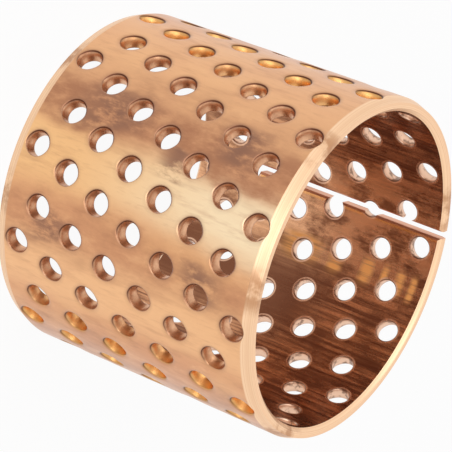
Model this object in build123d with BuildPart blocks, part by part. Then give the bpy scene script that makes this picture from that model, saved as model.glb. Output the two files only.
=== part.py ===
"""Wrapped bronze bushing, drilled all over with lubrication holes.

A flat strip is punched with staggered rows of holes and rolled to a tube with an open
butt joint. Both ends are then turned, with a long lead-in chamfer outside and a small
chamfer in the bore. The bushing stands on one end: the origin is the centre of that
end and +Z runs along the axis of the bore. The joint faces +Y.
"""

import os
from math import cos, degrees, pi, radians, tan

from build123d import *

os.makedirs("parts", exist_ok=True)

# Rolled tube
BORE_DIAMETER = 60.0
WALL = 2.5
LENGTH = 57.0

# Turned ends, and the direction that the turned faces start from: away from the joint,
# and between two holes at mid-height all round
LEAD_LENGTH = 2.0
LEAD_ANGLE = 20.0
BORE_CHAMFER = 0.7
SECTION_DIRECTION = 34.0

# Butt joint, parallel sided, with its edges broken
JOINT_GAP = 1.5
JOINT_EDGE = 0.4
JOINT_DIRECTION = 90.0

# Punched holes: wide at the outer wall, narrow at the bore
MOUTH_DIAMETER = 5.2
THROAT_DIAMETER = 4.0
HOLE_SIDES = 16

# Hole pattern: height of the lowest row, and lengths along the middle of the flat strip
ROWS = 13
FIRST_ROW = 4.7
ROW_PITCH = 4.02
ROW_SHIFT = 10.47
HOLE_PITCH = 17.98
FIRST_HOLE = 3.13

bore_radius = BORE_DIAMETER / 2
outer_radius = bore_radius + WALL
middle_radius = bore_radius + WALL / 2
strip_length = 2 * pi * middle_radius - JOINT_GAP
lead_depth = LEAD_LENGTH * tan(radians(LEAD_ANGLE))


def hole_plane(along, height):
    """Plane on the outer wall, facing outwards, at a place on the rolled strip."""
    turn = JOINT_DIRECTION - degrees((along + JOINT_GAP / 2) / middle_radius)
    outwards = Vector(1, 0, 0).rotate(Axis.Z, turn)
    return Plane(outwards * outer_radius + Vector(0, 0, height), (0, 0, 1), outwards)


def hole_planes():
    """Planes of all holes that touch the strip, those cut by its ends included."""
    reach = MOUTH_DIAMETER / 2
    for row in range(ROWS):
        along = (FIRST_HOLE - row * ROW_SHIFT) % HOLE_PITCH - HOLE_PITCH
        while along < strip_length + reach:
            if along > -reach:
                yield hole_plane(along, FIRST_ROW + row * ROW_PITCH)
            along += HOLE_PITCH


# Two opposite flats of the punch, as a long block that tapers into the wall
with BuildPart() as flats:
    for depth in (-1.5 * WALL, 0.5 * WALL):
        diameter = MOUTH_DIAMETER + (MOUTH_DIAMETER - THROAT_DIAMETER) / WALL * depth
        width = diameter * cos(pi / HOLE_SIDES)
        with BuildSketch(Plane.XY.offset(depth)):
            Rectangle(width + 3 * MOUTH_DIAMETER, width)
    loft(ruled=True)

# Punch, the common part of such blocks turned about its axis. Its sixteen flats keep the
# hole round to within 0.05 mm and the tube with its 144 holes light.
with BuildPart() as punch:
    add(flats.part)
    for turn in range(1, HOLE_SIDES // 2):
        add(flats.part, rotation=(0, 0, turn * 360 / HOLE_SIDES), mode=Mode.INTERSECT)

with BuildPart() as bushing:
    # Wall section, turned round the axis
    with BuildSketch(Plane.XZ.rotated((0, 0, SECTION_DIRECTION))):
        with BuildLine():
            Polyline(
                (bore_radius + BORE_CHAMFER, 0),
                (outer_radius - lead_depth, 0),
                (outer_radius, LEAD_LENGTH),
                (outer_radius, LENGTH - LEAD_LENGTH),
                (outer_radius - lead_depth, LENGTH),
                (bore_radius + BORE_CHAMFER, LENGTH),
                (bore_radius, LENGTH - BORE_CHAMFER),
                (bore_radius, BORE_CHAMFER),
                close=True,
            )
        make_face()
    revolve(axis=Axis.Z)

    # Punched holes
    with Locations(*hole_planes()):
        add(punch.part, mode=Mode.SUBTRACT)

    # Butt joint, flared by the broken edges at the bore and at the outer wall
    with BuildSketch():
        with BuildLine():
            half_gap, flare = JOINT_GAP / 2, JOINT_EDGE + WALL
            Polyline(
                (0, bore_radius - WALL),
                (half_gap + flare, bore_radius - WALL),
                (half_gap, bore_radius + JOINT_EDGE),
                (half_gap, outer_radius - JOINT_EDGE),
                (half_gap + flare, outer_radius + WALL),
                (0, outer_radius + WALL),
            )
            mirror(about=Plane.YZ)
        make_face()
    extrude(amount=LENGTH, mode=Mode.SUBTRACT)

bushing.part.label = "bushing"
export_step(bushing.part, "parts/bushing.step")
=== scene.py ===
"""Dresses the wrapped bronze bushing: its punched and rolled wall, its finishes and the studio."""

import logging
from dataclasses import dataclass, field
from enum import IntEnum
from math import cos, pi, radians, sin, tan
from typing import Any

import bmesh
import bpy
from bmesh.types import BMEdge, BMesh, BMFace, BMVert
from mathutils import Matrix, Vector


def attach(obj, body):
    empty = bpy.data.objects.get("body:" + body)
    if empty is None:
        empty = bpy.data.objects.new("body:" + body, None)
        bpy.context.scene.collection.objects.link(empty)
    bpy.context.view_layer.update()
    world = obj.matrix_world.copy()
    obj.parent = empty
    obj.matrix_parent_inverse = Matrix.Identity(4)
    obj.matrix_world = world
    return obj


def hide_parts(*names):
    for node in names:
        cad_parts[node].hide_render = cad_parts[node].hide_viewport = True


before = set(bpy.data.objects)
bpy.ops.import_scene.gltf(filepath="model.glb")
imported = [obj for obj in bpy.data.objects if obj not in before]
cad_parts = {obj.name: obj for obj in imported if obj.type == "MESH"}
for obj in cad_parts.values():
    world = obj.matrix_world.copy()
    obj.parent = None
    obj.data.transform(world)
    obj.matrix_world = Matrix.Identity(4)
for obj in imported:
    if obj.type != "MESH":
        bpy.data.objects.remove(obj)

log = logging.getLogger("bushing")

Colour = tuple[float, float, float]

MM = 0.001

# In mm: how near a cut a vertex is taken to lie on it, the shortest edge that is kept,
# and how far apart the vertices that two cells share may lie
SNAP = 1e-5
SHORTEST = 1e-3
MERGE = 0.005

WHITE = (1.0, 1.0, 1.0, 1.0)
FILM_ROUGHNESS = 0.3


class Zone(IntEnum):
    """The surfaces of the wall, in the order of the piece's material slots."""

    OUTER = 0
    BORE = 1
    HOLE = 2
    TURNED = 3
    JOINT = 4


# ---------------------------------------------------------------- shader maths


class Signal:
    """A shader socket that is used like a number in an expression."""

    def __init__(self, nodes: "Nodes", socket: bpy.types.NodeSocket) -> None:
        """Keeps the socket and the nodes that it belongs to."""
        self.nodes = nodes
        self.socket = socket

    def _math(self, operation: str, *values: Any) -> "Signal":
        """Adds one Math node.

        Args:
            operation: The Math node's operation.
            values: The operands in order.

        Returns:
            The node's result.
        """
        return self.nodes.node("ShaderNodeMath", {"operation": operation}, *values)

    def __add__(self, other: Any) -> "Signal":
        """Sum."""
        return self._math("ADD", self, other)

    __radd__ = __add__

    def __sub__(self, other: Any) -> "Signal":
        """Difference."""
        return self._math("SUBTRACT", self, other)

    def __rsub__(self, other: Any) -> "Signal":
        """Difference, from the right."""
        return self._math("SUBTRACT", other, self)

    def __mul__(self, other: Any) -> "Signal":
        """Product."""
        return self._math("MULTIPLY", self, other)

    __rmul__ = __mul__

    def __truediv__(self, other: Any) -> "Signal":
        """Quotient."""
        return self._math("DIVIDE", self, other)

    def __pow__(self, other: Any) -> "Signal":
        """Power."""
        return self._math("POWER", self, other)

    def clamped(self) -> "Signal":
        """The value held between 0 and 1."""
        return self._math("MINIMUM", self._math("MAXIMUM", self, 0.0), 1.0)

    def step(self, low: float, high: float) -> "Signal":
        """Rises smoothly from 0 at low to 1 at high.

        Args:
            low: Where the step starts.
            high: Where it ends; less than low for a falling step.

        Returns:
            The stepped value.
        """
        settings = {"interpolation_type": "SMOOTHSTEP"}
        if low <= high:
            return self.nodes.node("ShaderNodeMapRange", settings, self, low, high, 0.0, 1.0)
        return self.nodes.node("ShaderNodeMapRange", settings, self, high, low, 1.0, 0.0)

    def bell(self, centre: float, width: float) -> "Signal":
        """A smooth hill of height 1.

        Args:
            centre: Where the hill stands.
            width: Half its foot.

        Returns:
            The hill's height.
        """
        return self._math("ABSOLUTE", self - centre).step(width, 0.0)


class Nodes:
    """The nodes of a material or of the world, under construction."""

    def __init__(self, tree: bpy.types.NodeTree) -> None:
        """Empties the tree.

        Args:
            tree: The node tree to fill.
        """
        self.tree = tree
        tree.nodes.clear()

    def node(
        self,
        kind: str,
        settings: dict[str, Any] | None = None,
        *values: Any,
        out: int | str | None = 0,
        **named: Any,
    ) -> Any:
        """Adds a node.

        Args:
            kind: The node's type.
            settings: Its own settings, set before its sockets.
            values: Values or signals of its enabled inputs in order.
            out: Which output is wanted, by index or name, or None for the node itself.
            named: Values or signals of inputs by name.

        Returns:
            The output as a signal, or the node.
        """
        made = self.tree.nodes.new(kind)
        for key, value in (settings or {}).items():
            setattr(made, key, value)
        sockets = [socket for socket in made.inputs if socket.enabled]
        pairs = list(zip(sockets, values))
        pairs += [(next(s for s in sockets if s.name == key), value) for key, value in named.items()]
        for socket, value in pairs:
            if isinstance(value, Signal):
                self.tree.links.new(value.socket, socket)
            else:
                socket.default_value = value
        if out is None:
            return made
        outputs = [socket for socket in made.outputs if socket.enabled]
        return Signal(self, outputs[out] if isinstance(out, int) else made.outputs[out])

    def backdrop(self, camera_share: float = 1.0) -> Signal:
        """Where a plain white backdrop is shown: to the camera, and in metal and glass.

        Args:
            camera_share: How much of it the camera sees.

        Returns:
            How much of the backdrop shows, 0 to 1.
        """
        rays = self.node("ShaderNodeLightPath", out=None)
        kinds = ("Is Camera Ray", "Is Glossy Ray", "Is Transmission Ray")
        camera, glossy, clear = (Signal(self, rays.outputs[kind]) for kind in kinds)
        return (camera * camera_share + glossy + clear).clamped()


@dataclass(frozen=True)
class Grain:
    """Noise on the piece's own coordinates.

    cells is its cells per metre along X, Y and Z, octaves and fine its detail and how
    strong that is, shift how far it is moved, in metres, roughens how much it changes the
    roughness, and height how high it stands, in metres.
    """

    cells: tuple[float, float, float]
    octaves: float = 4.0
    fine: float = 0.6
    shift: tuple[float, float, float] = (0.0, 0.0, 0.0)
    roughens: float = 0.0
    height: float = 0.0


@dataclass(frozen=True)
class Layer:
    """A colour laid on where a value runs from low, with none of it, to high, with its full share."""

    colour: Colour
    low: float
    high: float
    share: float = 1.0


@dataclass(frozen=True)
class Breakup:
    """How a noise breaks a mark up: thin, and thicker by gain where it runs from low to high."""

    low: float
    high: float
    thin: float
    gain: float

    def share(self, noise: Signal) -> Signal:
        """How much of the mark is left at each place."""
        return noise.step(self.low, self.high) * self.gain + self.thin


@dataclass(frozen=True)
class Stripe:
    """A mark along the axis: its azimuth and half width in degrees, and its strength."""

    azimuth: float
    half_width: float
    strength: float = 1.0


@dataclass(frozen=True)
class Spot:
    """A mark at one height: its height and half length, in metres."""

    height: float
    reach: float


class Paint(Nodes):
    """A material under construction, with the place on the piece that it is seen at."""

    def __init__(self, name: str) -> None:
        """Starts an empty material.

        Args:
            name: The material's name.
        """
        self.material = bpy.data.materials.new(name)
        self.material.use_nodes = True
        super().__init__(self.material.node_tree)
        self.place = self.node("ShaderNodeTexCoord", out="Object")
        parts = self.node("ShaderNodeSeparateXYZ", {}, self.place, out=None)
        self.x, self.y, self.z = (Signal(self, parts.outputs[axis]) for axis in "XYZ")
        self.radius = (self.x * self.x + self.y * self.y) ** 0.5

    def grain(self, grain: Grain) -> Signal:
        """Adds a noise, about 0 to 1."""
        mapping = {"Vector": self.place, "Location": grain.shift, "Scale": grain.cells}
        spot = self.node("ShaderNodeMapping", {"vector_type": "POINT"}, **mapping)
        detail = {"Scale": 1.0, "Detail": grain.octaves, "Roughness": grain.fine}
        return self.node("ShaderNodeTexNoise", {"noise_dimensions": "3D"}, Vector=spot, **detail)

    def facing(self, azimuth: float) -> Signal:
        """How far the place lies towards an azimuth round the axis: 1 there, -1 opposite."""
        turn = radians(azimuth)
        return (self.x * cos(turn) + self.y * sin(turn)) / self.radius

    def band(self, stripe: Stripe, wander: Signal | None = None) -> Signal:
        """A soft band along the axis, round one azimuth.

        Args:
            stripe: The band's azimuth and half width.
            wander: How far its middle is moved round the axis at each place, in radians.

        Returns:
            1 in the middle, 0 outside.
        """
        towards = self.facing(stripe.azimuth)
        if wander is not None:
            towards = towards + self.facing(stripe.azimuth + 90) * wander
        return towards.step(cos(radians(stripe.half_width)), 1.0)

    def mix(self, share: Any, under: Any, over: Any) -> Signal:
        """Mixes two colours.

        Args:
            share: How much of the second.
            under: The first colour.
            over: The second colour.

        Returns:
            The mixed colour.
        """
        settings = {"data_type": "RGBA", "clamp_factor": True}
        return self.node("ShaderNodeMix", settings, share, rgba(under), rgba(over))

    def lay(self, under: Any, value: Signal, layer: Layer, within: Signal | None = None) -> Signal:
        """Lays a colour on where a value asks for it.

        Args:
            under: The colour below.
            value: The value that places the layer.
            layer: The layer.
            within: How much of it is let through at each place.

        Returns:
            The mixed colour.
        """
        share = value.step(layer.low, layer.high) * layer.share
        return self.mix(share if within is None else share * within, under, layer.colour)

    def mark(self, under: Any, colour: Colour, share: float) -> Signal:
        """Lays a colour on where the piece's crease attribute marks an edge: painted shade on the wall
        and the holes, a lighter ring in the bore.

        Args:
            under: The colour below.
            colour: The colour of the edge.
            share: How much of it shows.

        Returns:
            The mixed colour.
        """
        crease = self.node("ShaderNodeAttribute", {"attribute_name": "crease"}, out="Fac")
        return self.mix((crease * share).clamped(), under, colour)

    def metal(
        self,
        colour: Signal,
        roughness: Any,
        grains: dict[Grain, Signal],
        relief: float,
        metallic: Any = 1.0,
        film: float = 0.0,
    ) -> bpy.types.Material:
        """Finishes the material as bare metal.

        Args:
            colour: Its colour.
            roughness: Its mean roughness.
            grains: The noises that roughen it and stand on it.
            relief: How strong their relief is.
            metallic: How metallic it is.
            film: How strong the film of oil on it is.

        Returns:
            The material.
        """
        height: Any = 0.0
        for grain, noise in grains.items():
            if grain.roughens:
                roughness = roughness + (noise - 0.5) * grain.roughens
            if grain.height:
                height = height + noise * grain.height
        bump = self.node("ShaderNodeBump", {}, Strength=relief, Distance=1.0, Height=height)
        look = {"Base Color": colour, "Roughness": roughness, "Metallic": metallic, "Normal": bump}
        coat = {"Coat Weight": film, "Coat Roughness": FILM_ROUGHNESS}
        surface = self.node("ShaderNodeBsdfPrincipled", {}, **look, **coat)
        self.node("ShaderNodeOutputMaterial", {}, Surface=surface, out=None)
        return self.material


def rgba(colour: Any) -> Any:
    """A colour with its alpha, or a signal as it is."""
    return colour if isinstance(colour, Signal) else (*colour, 1.0)


def tint(red: int, green: int, blue: int) -> Colour:
    """A display colour, 0 to 255, as the linear colour that a shader takes."""

    def linear(value: int) -> float:
        """One channel."""
        share = value / 255
        return share / 12.92 if share <= 0.04045 else ((share + 0.055) / 1.055) ** 2.4

    return linear(red), linear(green), linear(blue)


# ---------------------------------------------------------------- finishes


# Pale bronze of the random lighter tone, and of the painted sheen stripes on the outer wall.
PALE_BRONZE_AND_SHEEN = tint(246, 192, 142)
# Brown of the real stains, and of the painted dark reflections on the outer wall.
BROWN_STAIN_AND_DARK_REFLECTION = tint(182, 126, 92)
# Brown of the bore's streaks and blotches, and of its painted shade.
BORE_BROWN_AND_SHADE = tint(126, 80, 58)


@dataclass(frozen=True)
class RolledBronze:
    """The outer wall: satin rolled bronze with brown stains and a painted highlight along one line.

    The painted highlight is golden below and bright above. Stripes of painted dark reflection
    and of painted sheen run along the axis. The stripes of painted dark reflection and the
    smudges, each a stripe and a spot on it, wander a little round the axis. A stripe's falloff
    draws it in to its middle. thin and gain say how much of a stripe is left where the noise
    is low and how much more where it is high.
    """

    body: Colour = tint(232, 174, 124)
    # Colour of the smudges, and of the painted shade round the hole mouths.
    mauve_smudge_and_edge_shade: Colour = tint(146, 104, 84)
    # Painted highlight colours: golden below, and bright above towards the near end.
    golden: Colour = tint(248, 196, 138)
    bright: Layer = Layer(tint(255, 230, 190), 0.01, 0.05)
    rosy: Layer = Layer(tint(220, 158, 116), 0.35, 0.65, 0.85)
    browned: Layer = Layer(BROWN_STAIN_AND_DARK_REFLECTION, 0.52, 0.75, 0.5)
    paled: Layer = Layer(PALE_BRONZE_AND_SHEEN, 0.46, 0.28, 0.5)
    streaked: Layer = Layer(BROWN_STAIN_AND_DARK_REFLECTION, 0.5, 0.72, 0.26)
    brushed: Layer = Layer(BROWN_STAIN_AND_DARK_REFLECTION, 0.5, 0.75, 0.2)
    streaks: Grain = Grain((480.0, 480.0, 75.0), 5.0, 0.62, roughens=0.2, height=0.000012)
    clouds: Grain = Grain((75.0, 75.0, 50.0), 4.0, 0.6, (0.3, 0.1, 0.2))
    smears: Grain = Grain((260.0, 260.0, 120.0), 5.0, 0.68, (0.7, 0.2, 0.5), 0.16, 0.00005)
    brushing: Grain = Grain((1500.0, 1500.0, 260.0), 3.0, 0.6, (0.1, 0.8, 0.3), height=0.000006)
    wandering: Grain = Grain((110.0, 110.0, 60.0), 3.0, 0.6, (0.4, 0.9, 0.6))
    wander: float = 0.28
    # Painted sheen: lighter stripes along the axis, with their breakup.
    sheen_stripes: tuple[Stripe, ...] = (Stripe(199.0, 30.0, 0.6), Stripe(283.0, 15.0, 0.9))
    sheen_thin: float = 0.4
    sheen_gain: float = 1.2
    # Painted highlight: a bright band along the axis, with its falloff, wander and breakup.
    painted_highlight: Stripe = Stripe(245.2, 18.5, 0.95)
    highlight_falloff: float = 3.0
    highlight_wander: float = 0.5
    highlight_thin: float = 0.7
    highlight_gain: float = 0.6
    # Painted dark reflections: brown stripes along the axis, with their falloff and breakup.
    stains_and_dark_reflections: tuple[Stripe, ...] = (
        Stripe(268.0, 12.0, 0.45),
        Stripe(227.0, 10.5, 0.9),
        Stripe(221.0, 20.0, 0.3),
        Stripe(323.0, 28.0, 0.45),
    )
    dark_reflection_falloff: float = 1.6
    dark_reflection_breakup: Breakup = Breakup(0.35, 0.65, 0.4, 0.8)
    smudged: tuple[tuple[Stripe, Spot], ...] = (
        (Stripe(267.0, 7.0, 0.9), Spot(0.0450, 0.0065)),
        (Stripe(226.0, 8.0, 0.9), Spot(0.0170, 0.0120)),
        (Stripe(223.0, 8.0, 0.9), Spot(0.0430, 0.0070)),
        (Stripe(268.0, 6.0, 0.9), Spot(0.0120, 0.0080)),
        (Stripe(236.0, 5.0, 0.9), Spot(0.0330, 0.0050)),
    )
    smudged_breakup: Breakup = Breakup(0.38, 0.55, 0.0, 1.0)
    # How much of the painted dark shade round the hole mouths shows.
    edge: float = 0.8
    roughness: float = 0.34
    relief: float = 0.6
    film: float = 0.2

    def make(self) -> bpy.types.Material:
        """Builds the material."""
        p = Paint("rolled_bronze")
        streak, cloud = p.grain(self.streaks), p.grain(self.clouds)
        smear, brush = p.grain(self.smears), p.grain(self.brushing)
        wander = (p.grain(self.wandering) - 0.5) * self.wander
        colour = p.lay(self.body, cloud, self.rosy)
        colour = p.lay(colour, smear, self.browned)
        colour = p.lay(colour, smear, self.paled)
        # Painted sheen: lighter stripes along the axis at fixed azimuths.
        thin = smear * self.sheen_gain + self.sheen_thin
        for stripe in self.sheen_stripes:
            colour = p.mix(p.band(stripe) * stripe.strength * thin, colour, PALE_BRONZE_AND_SHEEN)
        # Painted highlight: a bright golden band along the axis, brighter towards the near end.
        highlight_share = p.band(self.painted_highlight, wander * self.highlight_wander) ** self.highlight_falloff
        highlight_share = highlight_share * (streak * self.highlight_gain + self.highlight_thin)
        highlight_colour = p.lay(self.golden, p.z, self.bright)
        colour = p.mix(highlight_share.clamped() * self.painted_highlight.strength, colour, highlight_colour)
        # Painted dark reflections: brown stripes along the axis, broken up by noise.
        patchy = self.dark_reflection_breakup.share(smear)
        for stripe in self.stains_and_dark_reflections:
            share = p.band(stripe, wander) ** self.dark_reflection_falloff * patchy * stripe.strength
            colour = p.mix(share.clamped(), colour, BROWN_STAIN_AND_DARK_REFLECTION)
        patchy = self.smudged_breakup.share(smear)
        for stripe, spot in self.smudged:
            share = p.band(stripe, wander) * p.z.bell(spot.height, spot.reach) * patchy
            colour = p.mix(share * stripe.strength, colour, self.mauve_smudge_and_edge_shade)
        colour = p.lay(colour, streak, self.streaked)
        colour = p.lay(colour, brush, self.brushed)
        # Painted shade: a dark outline round the hole mouths, stronger on the side that they lean to.
        colour = p.mark(colour, self.mauve_smudge_and_edge_shade, self.edge)
        grains = {self.streaks: streak, self.smears: smear, self.brushing: brush}
        return p.metal(colour, self.roughness, grains, self.relief, film=self.film)


@dataclass(frozen=True)
class WornBore:
    """The bore: brown, streaked along the axis, with patches of painted glint.

    One side has painted light and the low part of the next painted shade, and the lip at
    the joint is golden. The patches of painted glint lie on one line along the axis.
    """

    body: Colour = tint(222, 162, 120)
    # Golden colour of the painted glints, and of the lip at the joint.
    glint_and_lip_gold: Colour = tint(255, 184, 108)
    ring: Colour = tint(244, 196, 164)
    streaked: Layer = Layer(BORE_BROWN_AND_SHADE, 0.36, 0.64)
    blotched: Layer = Layer(BORE_BROWN_AND_SHADE, 0.45, 0.62, 0.7)
    painted_side_light: Layer = Layer(tint(240, 182, 138), 0.66, 0.4, 0.8)
    shaded: Layer = Layer(BORE_BROWN_AND_SHADE, 0.044, 0.030)
    streaks: Grain = Grain((1100.0, 1100.0, 40.0), 6.0, 0.7, roughens=0.2, height=0.00003)
    blotches: Grain = Grain((260.0, 260.0, 150.0), 5.0, 0.65, (0.2, 0.6, 0.1), 0.2, 0.00004)
    # Painted light on one side of the bore, and painted shade on the low part of the next.
    light_side: Stripe = Stripe(84.0, 26.0)
    shaded_side: Stripe = Stripe(49.0, 19.0)
    # Painted glints: a line along the axis, with their spots, breakup, roughness and duller metal.
    glint_line: Stripe = Stripe(67.6, 6.5)
    patches: tuple[Spot, ...] = (
        Spot(0.0540, 0.0012),
        Spot(0.0510, 0.0016),
        Spot(0.0475, 0.0012),
        Spot(0.0435, 0.0021),
        Spot(0.0365, 0.0024),
        Spot(0.0285, 0.0060),
    )
    glint_breakup: Breakup = Breakup(0.6, 0.42, 0.45, 1.1)
    glint_roughness: float = 0.25
    glint_dulling: float = 0.35
    lip: Stripe = Stripe(87.7, 1.1, 0.6)
    edge: float = 0.8
    roughness: float = 0.26
    relief: float = 0.6

    def make(self) -> bpy.types.Material:
        """Builds the material."""
        p = Paint("worn_bore")
        streak, blotch = p.grain(self.streaks), p.grain(self.blotches)
        colour = p.lay(self.body, streak, self.streaked)
        colour = p.lay(colour, blotch, self.blotched)
        # Painted light: a lighter band on one side of the bore.
        colour = p.lay(colour, blotch, self.painted_side_light, p.band(self.light_side))
        # Painted shade: a darker band on the low part of the next side.
        colour = p.lay(colour, p.z, self.shaded, p.band(self.shaded_side))
        # Painted glints: bright golden patches on one line along the axis, rougher and less metallic.
        spots = sum((p.z.bell(spot.height, spot.reach) for spot in self.patches), 0.0).clamped()
        glint_share = (p.band(self.glint_line) * spots * self.glint_breakup.share(streak)).clamped()
        colour = p.mix(glint_share, colour, self.glint_and_lip_gold)
        colour = p.mix(p.band(self.lip) * self.lip.strength, colour, self.glint_and_lip_gold)
        colour = p.mark(colour, self.ring, self.edge)
        rough = self.roughness + glint_share * self.glint_roughness
        grains = {self.streaks: streak, self.blotches: blotch}
        return p.metal(colour, rough, grains, self.relief, 1.0 - glint_share * self.glint_dulling)


@dataclass(frozen=True)
class PunchedBronze:
    """The walls and lips of the holes: smooth, with darker drag marks and a painted dark line along the
    lips.

    They have a painted golden glow away from the bushing's near side, and are pinkish with darker
    patches on its far side.
    """

    body: Colour = tint(230, 180, 142)
    pinkish: Colour = tint(236, 196, 168)
    # Painted shade: the dark line along the lips of the holes, and how much of it shows.
    edge: Colour = tint(98, 58, 42)
    edge_shade_share: float = 0.9
    dragged: Layer = Layer(tint(178, 124, 92), 0.35, 0.75, 0.6)
    # Painted glow: golden hole walls away from the near side.
    golden: Layer = Layer(tint(248, 190, 112), 0.75, 0.45, 0.75)
    darker_far_patches: Layer = Layer(tint(128, 94, 78), 0.5, 0.62, 0.8)
    near_side: float = 247.0
    far_start: float = 0.15
    drags: Grain = Grain((600.0, 600.0, 600.0), 4.0, 0.6, roughens=0.2, height=0.00003)
    roughness: float = 0.4
    relief: float = 0.5

    def make(self) -> bpy.types.Material:
        """Builds the material."""
        p = Paint("punched_bronze")
        drag, side = p.grain(self.drags), p.facing(self.near_side)
        # Painted glow: golden hole walls away from the near side, over darker drag marks.
        colour = p.lay(p.lay(self.body, drag, self.dragged), side, self.golden)
        # Pinkish with darker patches on the far side.
        far = p.lay(self.pinkish, drag, self.darker_far_patches)
        colour = p.mix(side.step(self.far_start, -self.far_start), colour, far)
        # Painted shade: a dark line along the lips of the holes.
        colour = p.mark(colour, self.edge, self.edge_shade_share)
        return p.metal(colour, self.roughness, {self.drags: drag}, self.relief)


@dataclass(frozen=True)
class TurnedBronze:
    """The end faces and chamfers: pale fresh metal with fine tool rings and a few stains."""

    body: Colour = tint(252, 214, 176)
    ringed: Layer = Layer(tint(230, 180, 138), 0.35, 0.7, 0.55)
    stain: Layer = Layer(tint(180, 124, 84), 0.38, 0.6, 0.75)
    # On the turned faces these stripes carry real stains only.
    stains_and_dark_reflections: tuple[Stripe, ...] = (
        Stripe(263.0, 9.0),
        Stripe(213.0, 9.0),
        Stripe(100.0, 12.0),
        Stripe(330.0, 14.0),
    )
    tool_rings: Grain = Grain((5200.0, 5200.0, 5200.0), 2.0, 0.5, roughens=0.1, height=0.00001)
    patches: Grain = Grain((200.0, 200.0, 200.0), 4.0, 0.65, roughens=0.1)
    roughness: float = 0.41
    relief: float = 0.5

    def make(self) -> bpy.types.Material:
        """Builds the material."""
        p = Paint("turned_bronze")
        cells = self.tool_rings.cells[0]
        lathe = p.node("ShaderNodeCombineXYZ", {}, p.radius * cells, p.z * cells, 0.0)
        detail = {"Scale": 1.0, "Detail": self.tool_rings.octaves, "Roughness": self.tool_rings.fine}
        rings = p.node("ShaderNodeTexNoise", {"noise_dimensions": "2D"}, Vector=lathe, **detail)
        patch = p.grain(self.patches)
        colour = p.lay(self.body, rings, self.ringed)
        for stripe in self.stains_and_dark_reflections:
            colour = p.lay(colour, patch, self.stain, p.band(stripe))
        grains = {self.tool_rings: rings, self.patches: patch}
        return p.metal(colour, self.roughness, grains, self.relief)


@dataclass(frozen=True)
class ShearedBronze:
    """The two faces of the butt joint: pinkish, with drawn-out marks."""

    body: Colour = tint(234, 178, 146)
    drawn: Layer = Layer(tint(150, 96, 72), 0.4, 0.75, 0.6)
    marks: Grain = Grain((900.0, 900.0, 60.0), 4.0, 0.6, roughens=0.1, height=0.00003)
    roughness: float = 0.41
    relief: float = 0.5

    def make(self) -> bpy.types.Material:
        """Builds the material."""
        p = Paint("sheared_bronze")
        mark = p.grain(self.marks)
        colour = p.lay(self.body, mark, self.drawn)
        return p.metal(colour, self.roughness, {self.marks: mark}, self.relief)


Finish = RolledBronze | WornBore | PunchedBronze | TurnedBronze | ShearedBronze


# ---------------------------------------------------------------- the wall


@dataclass(frozen=True)
class Ring:
    """One ring of a punched hole's section, in mm.

    across is its half width round the wall, along its half length along the axis, depth
    how deep it lies under the outer wall, point how far its two ends along the axis are
    drawn out, lean how far it is pushed round the wall, crease how strongly it is marked,
    more so on the side that it leans to, and zone the surface that leads to it. The crease
    mark is painted shade on the outer wall and the hole walls, and a lighter ring in the bore.
    """

    across: float
    along: float
    depth: float
    zone: Zone
    crease: float = 0.0
    point: float = 0.0
    lean: float = 0.0


@dataclass(frozen=True)
class Ease:
    """How the hole pattern is drawn back along the strip, in mm.

    It starts at the place low and reaches its full amount at high.
    """

    low: float
    high: float
    amount: float

    def shift(self, place: float) -> float:
        """How far the pattern is drawn back at a place along the strip."""
        share = min(max((place - self.low) / (self.high - self.low), 0.0), 1.0)
        return self.amount * share * share * (3 - 2 * share)


def store(bm: BMesh, name: str) -> bpy.types.Mesh:
    """Writes a working mesh to a new mesh and frees it."""
    mesh = bpy.data.meshes.new(name)
    bm.to_mesh(mesh)
    bm.free()
    return mesh


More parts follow.
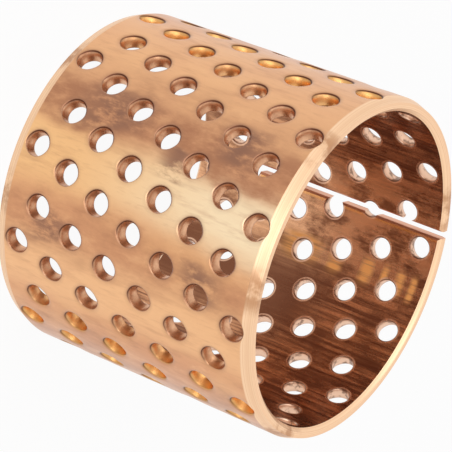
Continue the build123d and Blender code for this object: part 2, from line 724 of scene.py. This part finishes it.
@dataclass
class BushingWall:
    """The bushing: a strip punched flat, cut, turned at its ends and rolled to a tube, in mm.

    The hole pattern starts at the first row and the first hole. lean_mark is how much
    stronger a mouth's painted shade is on the side that it leans to, and point_falloff how
    narrow its drawn-out ends are. Each border of a cell has side_cuts edges. Faces that the
    strip is cut with are at most slice_length long. Edges above sharp_angle are sharp.
    """

    outer_radius: float = 32.5
    thickness: float = 2.5
    length: float = 57.0
    joint_gap: float = 1.5
    joint_edge: float = 0.4
    lead_length: float = 2.0
    lead_angle: float = 20.0
    bore_chamfer: float = 0.7
    rows: int = 13
    first_row: float = 4.7
    row_pitch: float = 4.02
    row_shift: float = 10.47
    hole_pitch: float = 17.98
    first_hole: float = 3.13
    margin_rows: int = 3
    eased: tuple[Ease, ...] = (Ease(60.0, 15.0, 0.3), Ease(150.0, 168.0, 0.6))
    lean_mark: float = 5.0
    point_falloff: int = 10
    sides: int = 32
    side_cuts: int = 8
    slice_length: float = 1.0
    sharp_angle: float = 33.0
    # Each ring's crease sets the painted shade round the mouths and lips, and the lighter ring in the
    # bore.
    rings: tuple[Ring, ...] = field(default_factory=lambda: (
        Ring(3.35, 3.4, 0.0, Zone.OUTER),
        Ring(2.8, 2.84, 0.03, Zone.OUTER, 0.18, 0.1, 0.06),
        Ring(2.5, 2.5, 0.11, Zone.OUTER, 0.6, 0.14, 0.12),
        Ring(2.38, 2.38, 0.22, Zone.HOLE, 1.0, 0.16, 0.12),
        Ring(2.28, 2.28, 0.4, Zone.HOLE, 0.25, 0.06, 0.06),
        Ring(2.14, 2.15, 0.95, Zone.HOLE),
        Ring(2.03, 2.03, 1.6, Zone.HOLE),
        Ring(2.0, 2.0, 2.15, Zone.HOLE),
        Ring(2.06, 2.06, 2.38, Zone.HOLE, 0.3),
        Ring(2.13, 2.13, 2.45, Zone.HOLE, 1.0),
        Ring(2.22, 2.22, 2.48, Zone.HOLE, 0.3),
        Ring(2.3, 2.3, 2.49, Zone.BORE, 1.0),
        Ring(2.46, 2.46, 2.5, Zone.BORE, 0.9),
        Ring(2.6, 2.6, 2.5, Zone.BORE),
        Ring(3.3, 3.3, 2.5, Zone.BORE),
    ))
    finishes: dict[Zone, Finish] = field(default_factory=lambda: {
        Zone.OUTER: RolledBronze(),
        Zone.BORE: WornBore(),
        Zone.HOLE: PunchedBronze(),
        Zone.TURNED: TurnedBronze(),
        Zone.JOINT: ShearedBronze(),
    })

    @property
    def middle_radius(self) -> float:
        """Radius of the middle of the wall, along which the strip's length is measured."""
        return self.outer_radius - self.thickness / 2

    @property
    def strip_length(self) -> float:
        """Length of the flat strip."""
        return 2 * pi * self.middle_radius - self.joint_gap

    @property
    def steps(self) -> tuple[Vector, Vector]:
        """The two sides of a cell of the hole pattern."""
        across = Vector((self.hole_pitch - self.row_shift, self.row_pitch, 0))
        return across, Vector((self.hole_pitch - 2 * self.row_shift, 2 * self.row_pitch, 0))

    def places(self) -> tuple[list[Vector], list[Vector]]:
        """Centres of the cells that cover the strip.

        Returns:
            Those with a hole, and those of the bare margins.
        """
        holed, bare = [], []
        reach = max(abs(step.x) for step in self.steps) + self.hole_pitch / 2
        for row in range(-self.margin_rows, self.rows + self.margin_rows):
            kind = holed if 0 <= row < self.rows else bare
            height = self.first_row + row * self.row_pitch
            spot = (self.first_hole - row * self.row_shift) % self.hole_pitch - 2 * self.hole_pitch
            while spot < self.strip_length + reach:
                if spot > -reach:
                    kind.append(Vector((spot, height, 0)))
                spot += self.hole_pitch
        return holed, bare

    def border(self, bm: BMesh, depth: float) -> list[BMEdge]:
        """Adds the outline of a cell, with the vertices that its neighbours share.

        Args:
            bm: The cell's mesh.
            depth: How deep the outline lies under the outer wall.

        Returns:
            The outline's edges.
        """
        one, two = (step / 2 for step in self.steps)
        spots = (-one - two, one - two, one + two, two - one)
        corners = [bm.verts.new((*spot.xy, -depth)) for spot in spots]
        sides = [bm.edges.new((corners[k - 1], corners[k])) for k in range(4)]
        cut = bmesh.ops.subdivide_edges(bm, edges=sides, cuts=self.side_cuts - 1)["geom"]
        made = {item for item in cut if isinstance(item, BMEdge)}
        return list(made | {edge for edge in sides if edge.is_valid})

    def shape_ring(self, verts: list[BMVert], ring: Ring, crease: Any, before: float = 0.0) -> None:
        """Lays a ring of vertices on one ring of the section.

        Args:
            verts: The ring's vertices, anywhere on their rays from the middle of the ring before.
            ring: The section's ring.
            crease: The mesh's crease layer.
            before: How far the ring before leans.
        """
        bend = self.middle_radius / (self.outer_radius - ring.depth)
        for vert in verts:
            ray = Vector((vert.co.x - before, vert.co.y)).normalized()
            across = ray.x * ring.across + ring.lean
            drawn = ring.point * abs(ray.y) ** self.point_falloff
            vert.co = (across * bend, ray.y * (ring.along + drawn), -ring.depth)
            # Strength of the edge mark here: painted shade on the outer wall and in the holes, a
            # lighter ring in the bore.
            vert[crease] = ring.crease * (1 + self.lean_mark * ring.lean * ray.x)

    def holed_cell(self) -> bpy.types.Mesh:
        """Builds a cell with its punched hole.

        Returns:
            The cell as a mesh, centred on the hole.
        """
        bm = bmesh.new()
        crease = bm.verts.layers.float.new("crease")
        bmesh.ops.create_circle(bm, segments=self.sides, radius=1.0)
        first = edges = bm.edges[:]
        self.shape_ring(bm.verts[:], self.rings[0], crease)
        for last, ring in zip(self.rings, self.rings[1:]):
            made = bmesh.ops.extrude_edge_only(bm, edges=edges)["geom"]
            verts = {item for item in made if isinstance(item, BMVert)}
            edges = [item for item in made if isinstance(item, BMEdge) and verts.issuperset(item.verts)]
            for item in made:
                if isinstance(item, BMFace):
                    item.material_index = ring.zone
            self.shape_ring(list(verts), ring, crease, last.lean)
        for depth, rim, zone in ((0.0, first, Zone.OUTER), (self.thickness, edges, Zone.BORE)):
            outline = self.border(bm, depth)
            for face in bmesh.ops.bridge_loops(bm, edges=rim + outline)["faces"]:
                face.material_index = zone
        return store(bm, "holed_cell")

    def bare_cell(self) -> bpy.types.Mesh:
        """Builds a cell of the margins, with no hole.

        Returns:
            The cell as a mesh.
        """
        bm = bmesh.new()
        bm.verts.layers.float.new("crease")
        one, two = (step / 2 for step in self.steps)
        for depth, zone in ((0.0, Zone.OUTER), (self.thickness, Zone.BORE)):
            known = set(bm.faces)
            skew = Matrix((
                (one.x, two.x, 0, 0),
                (one.y, two.y, 0, 0),
                (0, 0, 1, -depth),
                (0, 0, 0, 1),
            ))
            cuts = self.side_cuts
            bmesh.ops.create_grid(bm, x_segments=cuts, y_segments=cuts, size=1.0, matrix=skew)
            for face in set(bm.faces) - known:
                face.material_index = zone
        return store(bm, "bare_cell")

    def sheet(self) -> BMesh:
        """Lays the cells side by side.

        Returns:
            The punched sheet, larger than the strip.
        """
        bm = bmesh.new()
        bm.verts.layers.float.new("crease")
        for mesh, centres in zip((self.holed_cell(), self.bare_cell()), self.places()):
            for centre in centres:
                known = len(bm.verts)
                bm.from_mesh(mesh)
                bm.verts.ensure_lookup_table()
                bmesh.ops.translate(bm, verts=bm.verts[known:], vec=centre)
            bpy.data.meshes.remove(mesh)
        bmesh.ops.remove_doubles(bm, verts=bm.verts[:], dist=MERGE)
        bmesh.ops.bridge_loops(bm, edges=[edge for edge in bm.edges if edge.is_boundary])
        return bm

    def cut(
        self,
        bm: BMesh,
        point: tuple[float, float, float],
        outwards: tuple[float, float, float],
        zone: Zone,
    ) -> None:
        """Cuts the strip with a plane and closes the cut.

        Args:
            bm: The strip.
            point: A point on the plane.
            outwards: The plane's direction, away from what is kept.
            zone: The surface that the cut becomes.
        """
        geometry = bm.verts[:] + bm.edges[:] + bm.faces[:]
        plane = {"plane_co": point, "plane_no": outwards}
        bmesh.ops.bisect_plane(bm, geom=geometry, dist=SNAP, clear_outer=True, **plane)
        rim = [edge for edge in bm.edges if edge.is_boundary]
        faces = bmesh.ops.holes_fill(bm, edges=rim, sides=0)["faces"]
        for face in faces:
            face.material_index = zone
        self.slice(bm, faces)

    def slice(self, bm: BMesh, faces: list[BMFace]) -> None:
        """Divides long faces along the strip, so that they follow its curve when it is rolled.

        Args:
            bm: The strip.
            faces: The faces to divide.
        """
        place = step = self.slice_length
        pending = [f for f in faces if self.span(f)[1] - self.span(f)[0] > step]
        while pending and place < self.strip_length:
            parts = list({item for face in pending for item in (face, *face.edges, *face.verts)})
            plane = {"plane_co": (place, 0, 0), "plane_no": (1, 0, 0)}
            made = bmesh.ops.bisect_plane(bm, geom=parts, dist=SNAP, **plane)["geom"]
            pending = [f for f in made if isinstance(f, BMFace) and self.span(f)[1] > place + step]
            place += step

    @staticmethod
    def span(face: BMFace) -> tuple[float, float]:
        """A face's least and greatest place along the strip."""
        places = [vert.co.x for vert in face.verts]
        return min(places), max(places)

    def ease(self, bm: BMesh) -> None:
        """Draws the pattern back a little near both ends, where the strip is rolled flatter."""
        for vert in bm.verts:
            vert.co.x -= sum(ease.shift(vert.co.x) for ease in self.eased)

    def trim(self, bm: BMesh) -> None:
        """Cuts the sheet to the strip, with its joint faces, turned ends and broken edges."""
        end, last, deep = self.length, self.strip_length, -self.thickness
        lead, slope = self.lead_length, tan(radians(self.lead_angle))
        self.cut(bm, (0, 0, 0), (0, -1, 0), Zone.TURNED)
        self.cut(bm, (0, end, 0), (0, 1, 0), Zone.TURNED)
        self.cut(bm, (0, 0, 0), (-1, 0, 0), Zone.JOINT)
        self.cut(bm, (last, 0, 0), (1, 0, 0), Zone.JOINT)
        self.cut(bm, (0, lead, 0), (0, -slope, 1), Zone.TURNED)
        self.cut(bm, (0, end - lead, 0), (0, slope, 1), Zone.TURNED)
        self.cut(bm, (0, self.bore_chamfer, deep), (0, -1, -1), Zone.TURNED)
        self.cut(bm, (0, end - self.bore_chamfer, deep), (0, 1, -1), Zone.TURNED)
        for level, up in ((0.0, 1), (deep, -1)):
            self.cut(bm, (self.joint_edge, 0, level), (-1, 0, up), Zone.JOINT)
            self.cut(bm, (last - self.joint_edge, 0, level), (1, 0, up), Zone.JOINT)

    def roll(self, bm: BMesh) -> None:
        """Rolls the flat strip to the tube, with the joint towards +Y."""
        for vert in bm.verts:
            turn = pi / 2 - (vert.co.x + self.joint_gap / 2) / self.middle_radius
            radius = self.outer_radius + vert.co.z
            vert.co = Vector((radius * cos(turn), radius * sin(turn), vert.co.y)) * MM

    def sharpen(self, bm: BMesh) -> None:
        """Shades the wall smooth, with its steep edges and the borders of its cut faces sharp."""
        cut_zones = {Zone.TURNED, Zone.JOINT}
        for face in bm.faces:
            face.smooth = True
        for edge in bm.edges:
            zones = {face.material_index for face in edge.link_faces}
            border = len(zones) > 1 and not zones.isdisjoint(cut_zones)
            edge.smooth = edge.calc_face_angle(0.0) < radians(self.sharp_angle) and not border

    def build(self) -> bpy.types.Object:
        """Builds and dresses the wall.

        Returns:
            The finished piece.
        """
        bm = self.sheet()
        self.ease(bm)
        self.trim(bm)
        bmesh.ops.dissolve_degenerate(bm, edges=bm.edges[:], dist=SHORTEST)
        bmesh.ops.triangulate(bm, faces=[face for face in bm.faces if len(face.verts) > 4])
        self.roll(bm)
        bmesh.ops.recalc_face_normals(bm, faces=bm.faces[:])
        self.sharpen(bm)
        triangles = sum(len(face.verts) - 2 for face in bm.faces)
        open_edges = sum(not edge.is_manifold for edge in bm.edges)
        log.info("bushing_wall: %d triangles, %d open edges", triangles, open_edges)
        wall = bpy.data.objects.new("bushing_wall", store(bm, "bushing_wall"))
        bpy.context.scene.collection.objects.link(wall)
        for zone in Zone:
            wall.data.materials.append(self.finishes[zone].make())
        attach(wall, "root")
        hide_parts("bushing")
        return wall


# ---------------------------------------------------------------- studio


@dataclass(frozen=True)
class Lamp:
    """A round soft lamp: azimuth in degrees, distance, height and size in metres, power in watts."""

    name: str
    azimuth: float
    height: float
    size: float
    power: float
    distance: float = 0.7
    aim: tuple[float, float, float] = (0.0, 0.0, 0.03)

    def build(self) -> None:
        """Hangs the lamp, turned to its aim."""
        turn = radians(self.azimuth)
        light = bpy.data.lights.new(self.name, "AREA")
        light.shape = "DISK"
        light.size = self.size
        light.energy = self.power
        holder = bpy.data.objects.new(self.name, light)
        holder.location = (self.distance * cos(turn), self.distance * sin(turn), self.height)
        towards = Vector(self.aim) - holder.location
        holder.rotation_euler = towards.to_track_quat("-Z", "Y").to_euler()
        bpy.context.scene.collection.objects.link(holder)


@dataclass
class Studio:
    """Floor, light and camera, in metres and degrees."""

    floor_size: float = 6.0
    floor_colour: Colour = (0.86, 0.86, 0.86)
    floor_glow: float = 0.93
    sky_strength: float = 0.6
    lamps: tuple[Lamp, ...] = (
        Lamp("key_lamp", 246.0, 0.42, 0.6, 1.6),
        Lamp("fill_lamp", 200.0, 0.7, 0.8, 2.0),
    )
    aim: tuple[float, float, float] = (0.00077912, -0.00034829, 0.02829551)
    view_azimuth: float = 65.914034
    view_drop: float = 30.383952
    distance: float = 0.45337576
    roll: float = 111.532175
    lens: float = 194.97
    sensor: float = 36.0
    nearest: float = 0.01

    def build(self) -> None:
        """Builds the whole studio."""
        self.floor()
        self.world()
        for lamp in self.lamps:
            lamp.build()
        self.camera()
        bpy.context.scene.view_settings.view_transform = "Standard"

    def floor(self) -> None:
        """Adds the pale floor, which shows white but keeps a soft shadow."""
        bm = bmesh.new()
        bmesh.ops.create_grid(bm, x_segments=1, y_segments=1, size=self.floor_size / 2)
        floor = bpy.data.objects.new("floor", store(bm, "floor"))
        bpy.context.scene.collection.objects.link(floor)
        paint = Paint("pale_floor")
        matt = paint.node("ShaderNodeBsdfDiffuse", {}, Color=rgba(self.floor_colour))
        glow = paint.node("ShaderNodeEmission", {}, Color=WHITE, Strength=1.0)
        surface = paint.node("ShaderNodeMixShader", {}, paint.backdrop(self.floor_glow), matt, glow)
        paint.node("ShaderNodeOutputMaterial", {}, Surface=surface, out=None)
        floor.data.materials.append(paint.material)

    def world(self) -> None:
        """Sets a white background over a plain soft sky."""
        world = bpy.data.worlds.new("studio")
        bpy.context.scene.world = world
        world.use_nodes = True
        sky = Nodes(world.node_tree)
        soft = sky.node("ShaderNodeBackground", {}, Color=WHITE, Strength=self.sky_strength)
        white = sky.node("ShaderNodeBackground", {}, Color=WHITE, Strength=1.0)
        surface = sky.node("ShaderNodeMixShader", {}, sky.backdrop(), soft, white)
        sky.node("ShaderNodeOutputWorld", {}, Surface=surface, out=None)

    def camera(self) -> None:
        """Adds the camera, turned about its own line of sight."""
        turn, drop = radians(self.view_azimuth), radians(self.view_drop)
        look = Vector((cos(drop) * cos(turn), cos(drop) * sin(turn), -sin(drop)))
        camera = bpy.data.cameras.new("camera")
        camera.lens = self.lens
        camera.sensor_width = self.sensor
        camera.clip_start = self.nearest
        holder = bpy.data.objects.new("camera", camera)
        upright = look.to_track_quat("-Z", "Y").to_matrix()
        turned = upright @ Matrix.Rotation(radians(self.roll), 3, "Z")
        place = Vector(self.aim) - look * self.distance
        holder.matrix_world = Matrix.Translation(place) @ turned.to_4x4()
        bpy.context.scene.collection.objects.link(holder)
        bpy.context.scene.camera = holder


def main() -> None:
    """Builds the piece and the studio."""
    logging.basicConfig(level=logging.INFO, format="%(name)s: %(message)s")
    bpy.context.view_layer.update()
    BushingWall().build()
    Studio().build()


if __name__ == "__main__":
    main()
